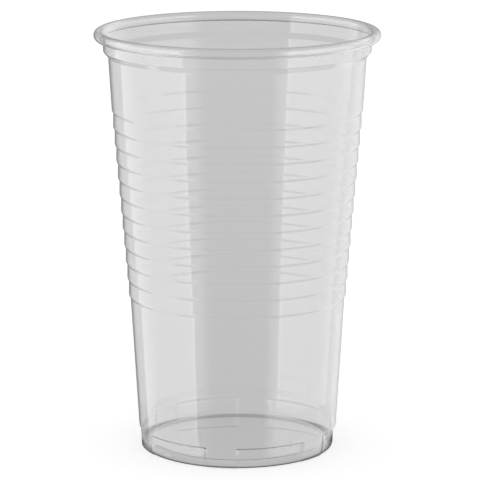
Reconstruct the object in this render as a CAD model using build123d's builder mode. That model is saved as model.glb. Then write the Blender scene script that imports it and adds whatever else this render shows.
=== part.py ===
"""A thin clear drinking cup, thermoformed from one sheet of plastic.

Millimetres. The cup stands on the XY plane with its axis on Z, and the origin is
at the middle of its foot. The sheet has one thickness from the base to the rolled rim.
"""

import os

from build123d import *

# Overall sizes
height = 116.0
rim_radius = 39.0
foot_radius = 27.0  # outside of the wall, carried straight down to the table
wall = 0.25
wall_taper = 0.06  # how much the plain stretches of wall widen for each mm of height

# Base: a flat foot ring that the cup stands on, round a panel raised off the table
foot_round = 1.0
foot_width = 1.8  # from the outside of the wall to the inner edge of the flat ring
panel_height = 1.5
panel_slope = 0.9  # how far in the inner side of the foot leans
panel_round = 0.5

# Above the foot the wall is set in, and stays proud at six pads
shoulder_height = 5.2
shoulder_round = 0.3
set_in_depth = 0.7  # at the shoulder
pad_count = 6
pad_root_width = 9.2
pad_face_width = 7.6
pad_direction = -90  # the first pad faces -Y

# Ribs: upright bands of wall, each one a step wider than the band below it
rib_count = 11
rib_pitch = 4.67
ribs_below_rim = 21.9
rib_lip = 0.75  # height over which the wall steps out
rib_bulge = 0.06  # each band leans out this much towards its lower edge
rib_round = 1.2
groove_round = 1.2 * wall  # as tight as the sheet can be bent

# Ledge from the smooth upper wall out to the collar below the rim
ledge_below_rim = 7.2  # lower edge
ledge_height = 1.5
ledge_depth = 1.35
collar_round = 0.6

# Rolled rim: the edge of the sheet curls out and down, and stops short of the wall
roll_height = 2.8
roll_turn = 300

roll_radius = roll_height / 2
roll_centre_height = height - roll_radius
roll_centre = (rim_radius - roll_radius, roll_centre_height)
collar_radius = rim_radius - roll_height + wall
neck_radius = collar_radius - ledge_depth
neck_height = height - ledge_below_rim
panel_radius = foot_radius - foot_width - panel_slope
foot_land_radius = foot_radius - foot_round  # outer edge of the flat ring

ribs_top = height - ribs_below_rim
ribs_bottom = ribs_top - rib_count * rib_pitch - rib_lip
ribs_top_radius = neck_radius - wall_taper * (neck_height - ribs_top)
ribs_bottom_radius = foot_radius + wall_taper * ribs_bottom
rib_step = (ribs_top_radius - ribs_bottom_radius) / (rib_count + 1)

set_in_radius = foot_radius + wall_taper * shoulder_height - set_in_depth
set_in_round = set_in_radius - foot_land_radius
below_foot = 1.0  # how far the cutting shapes reach past the foot
clear_radius = foot_radius + 1.0  # outside the wall all the way up to the shoulder
pad_cut_height = shoulder_height + 2 * below_foot


def rib_outline():
    """Corners of the ribs from the bottom up, and the round at each of them."""
    corners, rounds = [], []
    for band in range(rib_count):
        lower_edge = ribs_bottom + rib_lip + band * rib_pitch
        upper_edge = lower_edge + rib_pitch - rib_lip
        band_radius = ribs_bottom_radius + (band + 1) * rib_step
        corners += [(band_radius + rib_bulge, lower_edge), (band_radius, upper_edge)]
        rounds += [rib_round, groove_round]
    return [*corners, (ribs_top_radius, ribs_top)], [*rounds, rib_round]


def pad_half_width(at_radius):
    """Half the width of a pad, which narrows outwards from its root to its face."""
    narrowing = (pad_root_width - pad_face_width) / set_in_depth
    return (pad_root_width - narrowing * (at_radius - set_in_radius)) / 2


def pad_plan(shrink):
    """The six pads from above, each made smaller all round by the shrink."""
    inner, outer = set_in_radius - 1, clear_radius + 1
    with BuildSketch(Plane.XY.offset(-below_foot)) as plan:
        with PolarLocations(0, pad_count, start_angle=pad_direction):
            Polygon(
                (inner, -pad_half_width(inner)),
                (outer, -pad_half_width(outer)),
                (outer, pad_half_width(outer)),
                (inner, pad_half_width(inner)),
                align=None,
            )
        if shrink:
            offset(amount=-shrink, kind=Kind.INTERSECTION)
    return plan.sketch


rib_corners, rib_rounds = rib_outline()

# The sheet, drawn along its outside from the middle of the base up to the roll
with BuildPart() as cup:
    with BuildSketch(Plane.XZ):
        with BuildLine():
            FilletPolyline(
                (0, panel_height),
                (panel_radius, panel_height),
                (foot_radius - foot_width, 0),
                (foot_radius, 0),
                (ribs_bottom_radius, ribs_bottom),
                *rib_corners,
                (neck_radius, neck_height),
                (collar_radius, neck_height + ledge_height),
                (collar_radius, roll_centre_height),
                radius=[
                    panel_round,
                    panel_round,
                    foot_round,
                    groove_round,
                    *rib_rounds,
                    collar_round,
                    collar_round,
                ],
            )
            offset(amount=wall, side=Side.LEFT, closed=True)
        make_face()
        with BuildLine():
            roll_outside = CenterArc(roll_centre, roll_radius, 180, -roll_turn)
            roll_inside = CenterArc(roll_centre, roll_radius - wall, 180, -roll_turn)
            Line(roll_outside @ 0, roll_inside @ 0)
            Line(roll_outside @ 1, roll_inside @ 1)
        make_face()
    revolve(axis=Axis.Z)

# The set-in wall and its shoulder, still solid out to the middle of the straight wall
with BuildPart() as set_in_wall:
    inner, top = set_in_radius - wall, shoulder_height + wall
    middle_of_wall = foot_radius + wall_taper * top - wall / 2
    with BuildSketch(Plane.XZ):
        with BuildLine():
            FilletPolyline(
                (foot_land_radius - wall, wall),
                (inner, wall),
                (inner, top),
                (middle_of_wall, top),
                (foot_radius - wall / 2, wall / 2),
                (foot_land_radius - wall, wall / 2),
                radius=[
                    0,
                    set_in_round - wall,
                    shoulder_round + wall,
                    0,
                    foot_round - wall / 2,
                    0,
                ],
                close=True,
            )
        make_face()
    revolve(axis=Axis.Z)
    extrude(pad_plan(shrink=wall), amount=pad_cut_height, mode=Mode.SUBTRACT)

# The space outside the set-in wall, below the shoulder and between the pads
with BuildPart() as set_in_space:
    with BuildSketch(Plane.XZ):
        with BuildLine():
            FilletPolyline(
                (set_in_radius, shoulder_height),
                (set_in_radius, 0),
                (foot_land_radius - wall, 0),
                (foot_land_radius - wall, -below_foot),
                (clear_radius, -below_foot),
                (clear_radius, shoulder_height),
                radius=[shoulder_round, set_in_round, 0, 0, 0, 0],
                close=True,
            )
        make_face()
    revolve(axis=Axis.Z)
    extrude(pad_plan(shrink=0), amount=pad_cut_height, mode=Mode.SUBTRACT)

with cup:
    add(set_in_wall.part)
    add(set_in_space.part, mode=Mode.SUBTRACT)

cup.part.label = "cup"
os.makedirs("parts", exist_ok=True)
export_step(cup.part, "parts/cup.step")
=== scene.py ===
# Thin clear drinking cup on a pale studio floor. Metres, axis of the cup on Z, foot on the floor.
import math

import bmesh
import bpy
from mathutils import Matrix, Vector, noise


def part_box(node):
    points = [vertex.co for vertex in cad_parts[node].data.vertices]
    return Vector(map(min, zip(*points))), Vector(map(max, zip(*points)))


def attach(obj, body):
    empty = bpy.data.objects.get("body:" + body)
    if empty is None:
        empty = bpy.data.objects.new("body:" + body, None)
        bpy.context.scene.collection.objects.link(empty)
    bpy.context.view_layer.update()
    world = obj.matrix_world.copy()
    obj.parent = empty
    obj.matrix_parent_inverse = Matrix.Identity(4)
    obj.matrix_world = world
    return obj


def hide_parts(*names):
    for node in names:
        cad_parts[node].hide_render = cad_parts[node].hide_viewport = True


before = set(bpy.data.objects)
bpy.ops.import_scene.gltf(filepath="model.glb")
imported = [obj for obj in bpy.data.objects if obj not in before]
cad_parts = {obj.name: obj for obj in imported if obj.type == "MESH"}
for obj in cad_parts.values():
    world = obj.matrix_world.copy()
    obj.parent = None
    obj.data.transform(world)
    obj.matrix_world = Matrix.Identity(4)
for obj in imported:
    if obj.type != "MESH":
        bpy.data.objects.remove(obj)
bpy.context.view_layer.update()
print("frame loaded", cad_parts)

upAxis = Vector((0, 0, 1))
tableCentre = Vector((0, 0, 0))


def objectFrom(bm, name):
    mesh = bpy.data.meshes.new(name)
    bm.to_mesh(mesh)
    bm.free()
    made = bpy.data.objects.new(name, mesh)
    bpy.context.scene.collection.objects.link(made)
    return made


# One sheet, drawn along its outside from the middle of the base. Metres and degrees.
cupShape = {
    "wall": 0.00025,
    "wallTaper": 0.06,  # widening of the plain wall for each metre of height
    "wallRow": 0.004,  # height of the plain wall's rows
    "wallRows": (2, 9),  # first and last of them, counted from the floor
    "clearOfBox": 0.000008,
    # foot and base panel
    "footRadius": 0.027,
    "footRound": 0.001,
    "footWidth": 0.0018,
    "panelHeight": 0.0015,
    "panelSlope": 0.0009,
    "panelRound": 0.0009,
    # ribs
    "ribCount": 11,
    "ribPitch": 0.00467,
    "ribsBelowRim": 0.0219,
    "ribLip": 0.00075,
    "ribBulge": 0.00006,
    "ribRound": 0.0012,
    "grooveRound": 0.0003,
    # ledge, collar and roll
    "ledgeBelowRim": 0.0072,
    "ledgeHeight": 0.0015,
    "ledgeDepth": 0.00135,
    "collarRound": 0.0006,
    "rollHeight": 0.0028,
    "rollTurn": 300,
    "rollSteps": 20,
    "roundSteps": 4,
    # above the foot the wall is set in, and stands proud at the pads
    "setIn": 0.0007,
    "edgeRound": 0.00045,  # where the sheet turns in from a pad or the shoulder
    "shoulderHeight": 0.0056,
    "shoulderSteepness": 65,  # from the wall
    "shoulderRows": 9,
    "shoulderReach": 0.0006825,  # how far down the shoulder's rows go
    "padCount": 6,
    "firstPadAt": -90,  # the first pad faces -Y
    "padRootWidth": 0.0098,
    "padFaceWidth": 0.0076,
    "flankSteepness": 32,
    "faceSteps": 3,  # columns over half a pad
    "flankSteps": 6,
    "gapSteps": 14,
    # a drawn sheet is never quite round: slow dents, deepest halfway up
    "dentDepth": 0.00012,
    "dentScale": 22.0,
    "dentStretch": 0.45,  # slower up the wall than round it
    "dentClimb": 1.04,  # over 1, so they end below the rim
    "dentFade": 0.7,
    "flatInside": 0.02,  # no dents nearer the axis than this
    # how close two points count as one
    "mergeWithin": 0.000002,
    "cutWithin": 0.000001,
}


def penTo(bm, last, radius, height):
    tip = bmesh.ops.extrude_vert_indiv(bm, verts=[last])["verts"][0]
    tip.co = (radius, 0, height)
    return tip


def roundCorner(bm, corner, radius, steps):
    towards = [(edge.other_vert(corner).co - corner.co).normalized() for edge in corner.link_edges]
    turn = math.pi - towards[0].angle(towards[1])
    bmesh.ops.bevel(
        bm, geom=[corner], offset=radius * math.tan(turn / 2), offset_type="OFFSET",
        segments=steps, profile=0.5, affect="VERTICES", material=-1,
    )


def drawOutline(bm, c, rimRadius, height):
    collarRadius = rimRadius - c["rollHeight"] + c["wall"]
    rollCentre = Vector((rimRadius - c["rollHeight"] / 2, 0, height - c["rollHeight"] / 2))
    neckRadius = collarRadius - c["ledgeDepth"]
    neckHeight = height - c["ledgeBelowRim"]
    ribsTop = height - c["ribsBelowRim"]
    ribsBottom = ribsTop - c["ribCount"] * c["ribPitch"] - c["ribLip"]
    topRadius = neckRadius - c["wallTaper"] * (neckHeight - ribsTop)
    bottomRadius = c["footRadius"] + c["wallTaper"] * ribsBottom
    ribStep = (topRadius - bottomRadius) / (c["ribCount"] + 1)
    footInner = c["footRadius"] - c["footWidth"]
    corners = []

    pen = bmesh.ops.create_vert(bm, co=(0, 0, c["panelHeight"]))["vert"][0]
    for radius, z, rounding in (
        (footInner - c["panelSlope"], c["panelHeight"], c["panelRound"]),
        (footInner, 0, c["panelRound"]),
        (c["footRadius"], 0, c["footRound"]),
        (bottomRadius, ribsBottom, c["grooveRound"]),
    ):
        pen = penTo(bm, pen, radius, z)
        corners.append((pen, rounding))
    for band in range(c["ribCount"]):
        lowerEdge = ribsBottom + c["ribLip"] + band * c["ribPitch"]
        upperEdge = lowerEdge + c["ribPitch"] - c["ribLip"]
        bandRadius = bottomRadius + (band + 1) * ribStep
        pen = penTo(bm, pen, bandRadius + c["ribBulge"], lowerEdge)
        corners.append((pen, c["ribRound"]))
        pen = penTo(bm, pen, bandRadius, upperEdge)
        corners.append((pen, c["grooveRound"]))
    for radius, z, rounding in (
        (topRadius, ribsTop, c["ribRound"]),
        (neckRadius, neckHeight, c["collarRound"]),
        (collarRadius, neckHeight + c["ledgeHeight"], c["collarRound"]),
    ):
        pen = penTo(bm, pen, radius, z)
        corners.append((pen, rounding))
    pen = penTo(bm, pen, collarRadius, rollCentre.z)
    for corner, rounding in corners:
        roundCorner(bm, corner, rounding, c["roundSteps"])
    bmesh.ops.spin(
        bm, geom=[pen], angle=math.radians(c["rollTurn"]), steps=c["rollSteps"],
        axis=(0, 1, 0), cent=rollCentre,
    )


def addRows(bm, c, heights):
    for z in heights:
        bmesh.ops.bisect_plane(
            bm, geom=bm.verts[:] + bm.edges[:], dist=c["cutWithin"], plane_co=(0, 0, z), plane_no=upAxis,
        )


def halfAngle(width, radius):
    return math.degrees(math.asin(width / 2 / radius))


def spinRound(bm, c, padHalf):
    rootHalf = halfAngle(c["padRootWidth"], c["footRadius"] - c["setIn"])
    flank = rootHalf - padHalf
    gap = 360 / c["padCount"] - 2 * rootHalf
    toFirstPad = Matrix.Rotation(math.radians(c["firstPadAt"]), 3, "Z")
    bmesh.ops.rotate(bm, verts=bm.verts, cent=tableCentre, matrix=toFirstPad)
    lastRow = bm.verts[:] + bm.edges[:]
    for pad in range(c["padCount"]):
        for angle, steps in (
            (padHalf, c["faceSteps"]), (flank, c["flankSteps"]), (gap, c["gapSteps"]),
            (flank, c["flankSteps"]), (padHalf, c["faceSteps"]),
        ):
            lastRow = bmesh.ops.spin(
                bm, geom=lastRow, angle=math.radians(angle), steps=steps, axis=upAxis, cent=tableCentre,
            )["geom_last"]
    bmesh.ops.remove_doubles(bm, verts=bm.verts, dist=c["mergeWithin"])


def dropShare(past, steepness, c):
    # share of the set-in depth reached this far past an edge: a round, then a straight slope
    slope = math.radians(steepness)
    roundEnd = c["edgeRound"] * math.sin(slope)
    if past <= 0:
        return 0
    if past < roundEnd:
        return (c["edgeRound"] - math.sqrt(c["edgeRound"] ** 2 - past ** 2)) / c["setIn"]
    drop = c["edgeRound"] * (1 - math.cos(slope)) + (past - roundEnd) * math.tan(slope)
    return min(drop / c["setIn"], 1)


def setInWall(bm, c, padHalf, shoulderRadius, stepTop):
    landRadius = c["footRadius"] - c["footRound"]
    share = (shoulderRadius - c["setIn"] - landRadius) / (shoulderRadius - landRadius)
    spacing = 360 / c["padCount"]
    for vert in bm.verts:
        radius = vert.co.xy.length
        if radius <= landRadius or vert.co.z > c["shoulderHeight"] + c["edgeRound"]:
            continue
        angle = math.degrees(math.atan2(vert.co.y, vert.co.x)) - c["firstPadAt"]
        fromPad = abs((angle + spacing / 2) % spacing - spacing / 2)
        depth = dropShare(math.radians(fromPad - padHalf) * shoulderRadius, c["flankSteepness"], c)
        depth *= dropShare(stepTop - vert.co.z, c["shoulderSteepness"], c)
        wanted = landRadius + (radius - landRadius) * (1 + (share - 1) * depth)
        vert.co.xy *= wanted / radius


def dentWall(bm, c, height):
    for vert in bm.verts:
        radius = vert.co.xy.length
        if radius < c["flatInside"]:
            continue
        level = min(max(vert.co.z / height, 0) * c["dentClimb"], 1)
        fade = math.sin(math.pi * level) ** c["dentFade"]
        place = Vector((vert.co.x, vert.co.y, vert.co.z * c["dentStretch"])) * c["dentScale"]
        vert.co.xy *= 1 + c["dentDepth"] * fade * noise.noise(place) / radius


def makeCup(c):
    low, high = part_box("cup")
    rimRadius = (high[0] - low[0]) / 2 - c["clearOfBox"]
    shoulderRadius = c["footRadius"] + c["wallTaper"] * c["shoulderHeight"]
    stepTop = c["shoulderHeight"] + c["edgeRound"] / 2
    stepRow = c["shoulderReach"] / c["shoulderRows"]
    firstRow, lastRow = c["wallRows"]
    padHalf = halfAngle(c["padFaceWidth"], shoulderRadius)

    bm = bmesh.new()
    drawOutline(bm, c, rimRadius, high[2] - low[2] - c["clearOfBox"])
    addRows(bm, c, [stepTop - row * stepRow for row in range(c["shoulderRows"] + 1)])
    addRows(bm, c, [c["wallRow"] * row for row in range(firstRow, lastRow + 1)])
    spinRound(bm, c, padHalf)
    setInWall(bm, c, padHalf, shoulderRadius, stepTop)
    dentWall(bm, c, high[2] - low[2])
    bmesh.ops.recalc_face_normals(bm, faces=bm.faces)
    for face in bm.faces:
        face.smooth = True
    cup = objectFrom(bm, "clearCup")
    thickness = cup.modifiers.new("sheetThickness", "SOLIDIFY")
    thickness.thickness = c["wall"]
    thickness.offset = 1  # the recalculated normals face the inside of the cup and the outside of the roll
    thickness.use_even_offset = True
    thickness.material_offset_rim = 1  # the cut edge inside the roll
    return cup


cup = makeCup(cupShape)
print("cup made", len(cup.data.vertices), "vertices in the sheet")


def noiseOn(tree, vector, scale, detail):
    texture = tree.nodes.new("ShaderNodeTexNoise")
    texture.inputs["Scale"].default_value = scale
    texture.inputs["Detail"].default_value = detail
    tree.links.new(vector, texture.inputs["Vector"])
    return texture.outputs["Fac"]


def roughnessOn(tree, shader, pattern, patternSpan, roughness):
    haze = tree.nodes.new("ShaderNodeMapRange")
    for name, value in zip(("From Min", "From Max", "To Min", "To Max"), patternSpan + roughness):
        haze.inputs[name].default_value = value
    tree.links.new(pattern, haze.inputs["Value"])
    tree.links.new(haze.outputs["Result"], shader.inputs["Roughness"])


plastic = {
    "inside": (0.8, 0.804, 0.804),  # what a long path through the sheet turns to
    "density": 380,
    "ior": 1.49,
    "streakStretch": (1, 1, 0.15),  # the sheet is drawn upwards
    "streakScale": 60.0,
    "streakDetail": 3,
    "streakSpan": (0.3, 0.7),
    "roughness": (0.004, 0.02),
    "bumpStrength": 0.5,
    "bumpHeight": 0.00002,
}


def clearPlastic(p):
    material = bpy.data.materials.new("clearDrawnPlastic")
    material.use_nodes = True
    tree = material.node_tree
    nodes = tree.nodes
    links = tree.links
    shader = nodes["Principled BSDF"]
    shader.inputs["Base Color"].default_value = (1, 1, 1, 1)
    shader.inputs["Transmission Weight"].default_value = 1
    shader.inputs["IOR"].default_value = p["ior"]

    place = nodes.new("ShaderNodeTexCoord")
    stretch = nodes.new("ShaderNodeMapping")
    stretch.inputs["Scale"].default_value = p["streakStretch"]
    links.new(place.outputs["Object"], stretch.inputs["Vector"])
    streaks = noiseOn(tree, stretch.outputs["Vector"], p["streakScale"], p["streakDetail"])
    roughnessOn(tree, shader, streaks, p["streakSpan"], p["roughness"])

    bump = nodes.new("ShaderNodeBump")
    bump.inputs["Strength"].default_value = p["bumpStrength"]
    bump.inputs["Distance"].default_value = p["bumpHeight"]
    links.new(streaks, bump.inputs["Height"])
    links.new(bump.outputs["Normal"], shader.inputs["Normal"])

    depth = nodes.new("ShaderNodeVolumeAbsorption")
    depth.inputs["Color"].default_value = (*p["inside"], 1)
    depth.inputs["Density"].default_value = p["density"]
    links.new(depth.outputs["Volume"], nodes["Material Output"].inputs["Volume"])
    return material


# The sheet's cut edge, inside the roll, gets a pale matt colour instead of the clear plastic, so that it
# shows lit like the sheet round it: painted light
cutEdgePaintedLight = {
    # painted light: pale enough that the edge shows as lit as the clear sheet round it
    "color": (0.97, 0.97, 0.97),
    "grainScale": 1500.0,
    "grainDetail": 2,
    "grainSpan": (0, 1),
    "roughness": (0.45, 0.7),
}


def paintedLightEdge(e):
    material = bpy.data.materials.new("paintedLightCutEdge")
    material.use_nodes = True
    tree = material.node_tree
    shader = tree.nodes["Principled BSDF"]
    shader.inputs["Base Color"].default_value = (*e["color"], 1)
    place = tree.nodes.new("ShaderNodeTexCoord")
    grain = noiseOn(tree, place.outputs["Object"], e["grainScale"], e["grainDetail"])
    roughnessOn(tree, shader, grain, e["grainSpan"], e["roughness"])
    return material


cup.data.materials.append(clearPlastic(plastic))
cup.data.materials.append(paintedLightEdge(cutEdgePaintedLight))
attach(cup, "root")
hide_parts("cup")
print("plastic on")


def feed(tree, value, socket):
    if isinstance(value, bpy.types.NodeSocket):
        tree.links.new(value, socket)
    else:
        socket.default_value = value


def mathNode(tree, operation, *values):
    node = tree.nodes.new("ShaderNodeMath")
    node.operation = operation
    for socket, value in zip(node.inputs, values):
        feed(tree, value, socket)
    return node.outputs["Value"]


def mixNode(tree, share, first, second):
    node = tree.nodes.new("ShaderNodeMix")
    node.data_type = "FLOAT"
    for name, value in (("Factor", share), ("A", first), ("B", second)):
        feed(tree, value, node.inputs[name])
    return node.outputs["Result"]


def glowRamp(tree, value, stops, lowest, highest, brightest):
    node = tree.nodes.new("ShaderNodeValToRGB")
    tree.links.new(value, node.inputs["Fac"])
    elements = node.color_ramp.elements
    while len(elements) < len(stops):
        elements.new(0.5)
    for element, (at, glow) in zip(elements, stops):
        element.position = (at - lowest) / (highest - lowest)
        element.color = (glow / brightest,) * 3 + (1,)
    return mathNode(tree, "MULTIPLY", node.outputs["Color"], brightest)


floorLook = {
    "size": 24.0,
    "color": (0.9, 0.9, 0.9),
    "roughness": 0.9,
    "specular": 0,
    "glow": 0.55,
}


def makeFloor(look):
    bm = bmesh.new()
    bmesh.ops.create_grid(bm, x_segments=2, y_segments=2, size=look["size"] / 2)
    floor = objectFrom(bm, "floor")
    material = bpy.data.materials.new("paleFloor")
    material.use_nodes = True
    shader = material.node_tree.nodes["Principled BSDF"]
    shader.inputs["Base Color"].default_value = (*look["color"], 1)
    shader.inputs["Roughness"].default_value = look["roughness"]
    shader.inputs["Specular IOR Level"].default_value = look["specular"]
    shader.inputs["Emission Color"].default_value = (1, 1, 1, 1)
    shader.inputs["Emission Strength"].default_value = look["glow"]
    floor.data.materials.append(material)
    # the cup mirrors and shows the surround, not the floor
    floor.visible_glossy = False
    floor.visible_transmission = False


# A glowing disc just under the floor, shown only through and in the cup: the lit table close under the
# foot, with a painted contact shadow ring round the foot
paintedContactShadow = {
    "radius": 0.032,
    # out from the middle, how bright it is there; the dark ring round the foot is a painted contact shadow
    "glow": ((0, 0.54), (0.0246, 0.54), (0.0262, 0.11), (0.0289, 0.11), (0.0304, 0.55)),
    "below": 0.00005,
}


def makePaintedContactShadow(c):
    bm = bmesh.new()
    bmesh.ops.create_circle(bm, cap_ends=True, segments=96, radius=c["radius"])
    bmesh.ops.translate(bm, verts=bm.verts, vec=(0, 0, -c["below"]))
    shade = objectFrom(bm, "paintedContactShade")
    material = bpy.data.materials.new("paintedContactShade")
    material.use_nodes = True
    tree = material.node_tree
    nodes = tree.nodes
    nodes.remove(nodes["Principled BSDF"])
    place = nodes.new("ShaderNodeTexCoord")
    fromAxis = nodes.new("ShaderNodeVectorMath")
    fromAxis.operation = "LENGTH"
    tree.links.new(place.outputs["Object"], fromAxis.inputs[0])
    share = mathNode(tree, "DIVIDE", fromAxis.outputs["Value"], c["radius"])
    # painted light: the disc glows as the lit table under the foot, and is dark in a ring round the foot
    # as a painted contact shadow
    emission = nodes.new("ShaderNodeEmission")
    tree.links.new(glowRamp(tree, share, c["glow"], 0, c["radius"], 1), emission.inputs["Strength"])
    tree.links.new(emission.outputs["Emission"], nodes["Material Output"].inputs["Surface"])
    shade.data.materials.append(material)
    shade.visible_camera = False
    shade.visible_diffuse = False
    shade.visible_shadow = False


viewTurn = 9.5  # degrees, the camera's place round the cup from -Y towards +X

# What the cup mirrors: degrees round from the camera, then how bright it is there
surround = {
    "plain": 0.58,
    "over": 0.46,
    "brightest": 2.7,
    "leftBox": (
        (-176, 0.45), (-170, 0.28), (-156, 0.3), (-150, 0.53), (-131, 0.56), (-129, 1.3),
        (-78, 1.8), (-51, 2.0), (-50, 2.6), (-48.5, 2.6), (-47.5, 0.6),
    ),
    "rightBox": ((31, 0.6), (43, 1.65), (77, 1.6), (108, 1.28), (150, 1.1), (165, 0.7), (173, 0.45)),
    "leftReach": (-55, 32),  # degrees above the horizon, lowest and highest
    "rightReach": (-43, 32),
    "softness": 0.03,
    "overStarts": 0.15,  # height of a direction, from -1 straight down to 1 straight up
    "through": ((-1, 0.48), (-0.3, 0.525), (-0.14, 0.585), (1, 0.585)),  # seen straight through the cup
    "pastCup": 1.05,  # seen past the cup
}


def betweenHeights(tree, level, reach, softness):
    low, high = (math.sin(math.radians(angle)) for angle in reach)
    rise = mathNode(tree, "DIVIDE", mathNode(tree, "SUBTRACT", level, low), softness)
    fall = mathNode(tree, "DIVIDE", mathNode(tree, "SUBTRACT", high, level), softness)
    both = tree.nodes.new("ShaderNodeClamp")
    tree.links.new(mathNode(tree, "MINIMUM", rise, fall), both.inputs["Value"])
    return both.outputs["Result"]


def makeSurround(s):
    world = bpy.data.worlds.new("studioSurround")
    bpy.context.scene.world = world
    world.use_nodes = True
    tree = world.node_tree
    nodes = tree.nodes
    links = tree.links

    direction = nodes.new("ShaderNodeTexCoord")
    turned = nodes.new("ShaderNodeMapping")
    turned.inputs["Rotation"].default_value = (0, 0, math.radians(90 - viewTurn))
    links.new(direction.outputs["Generated"], turned.inputs["Vector"])
    around = nodes.new("ShaderNodeTexGradient")
    around.gradient_type = "RADIAL"
    links.new(turned.outputs["Vector"], around.inputs["Vector"])
    split = nodes.new("ShaderNodeSeparateXYZ")
    links.new(direction.outputs["Generated"], split.inputs["Vector"])
    level = split.outputs["Z"]
    height = mathNode(tree, "MULTIPLY_ADD", level, 0.5, 0.5)

    boxes = glowRamp(tree, around.outputs["Fac"], s["leftBox"] + s["rightBox"], -180, 180, s["brightest"])
    onRight = mathNode(tree, "GREATER_THAN", around.outputs["Fac"], 0.5)
    leftReach = betweenHeights(tree, level, s["leftReach"], s["softness"])
    rightReach = betweenHeights(tree, level, s["rightReach"], s["softness"])
    reach = mixNode(tree, onRight, leftReach, rightReach)
    plainToOver = ((0, s["plain"]), (s["overStarts"], s["over"]))
    background = glowRamp(tree, height, plainToOver, -1, 1, s["brightest"])
    mirrored = mixNode(tree, reach, background, boxes)
    through = glowRamp(tree, height, s["through"], -1, 1, s["brightest"])

    # light that the cup has mirrored comes from the boxes, the rest comes straight through it
    path = nodes.new("ShaderNodeLightPath")
    afterMirror = mathNode(tree, "GREATER_THAN", path.outputs["Glossy Depth"], 0.5)
    shown = mixNode(tree, afterMirror, through, mirrored)
    shown = mixNode(tree, path.outputs["Is Camera Ray"], shown, s["pastCup"])
    light = nodes["Background"]
    light.inputs["Color"].default_value = (1, 1, 1, 1)
    links.new(shown, light.inputs["Strength"])


makeFloor(floorLook)
makePaintedContactShadow(paintedContactShadow)
makeSurround(surround)
print("studio ready")


camera = {
    "distance": 0.79246,  # from the axis of the cup
    "height": 0.22562,
    "downward": 0.209,  # radians
    "aside": 0.0009,  # radians, turned right of the axis
    "lens": 220.9,
    "sensorWidth": 36,
    "clip": (0.01, 60),
}


def makeCamera(c):
    turn = math.radians(viewTurn)
    data = bpy.data.cameras.new("camera")
    data.lens = c["lens"]
    data.sensor_width = c["sensorWidth"]
    data.clip_start, data.clip_end = c["clip"]
    eye = bpy.data.objects.new("camera", data)
    eye.location = (math.sin(turn) * c["distance"], -math.cos(turn) * c["distance"], c["height"])
    eye.rotation_euler = (math.pi / 2 - c["downward"], 0, turn - c["aside"])
    bpy.context.scene.collection.objects.link(eye)
    bpy.context.scene.camera = eye


makeCamera(camera)
bpy.context.scene.view_settings.view_transform = "Standard"
lightTurns = 48  # light that is caught in the sheet needs many turns before it gets out
bpy.context.scene.cycles.max_bounces = lightTurns
bpy.context.scene.cycles.transmission_bounces = lightTurns
bpy.context.scene.cycles.glossy_bounces = lightTurns
bpy.context.view_layer.update()
print("camera placed")
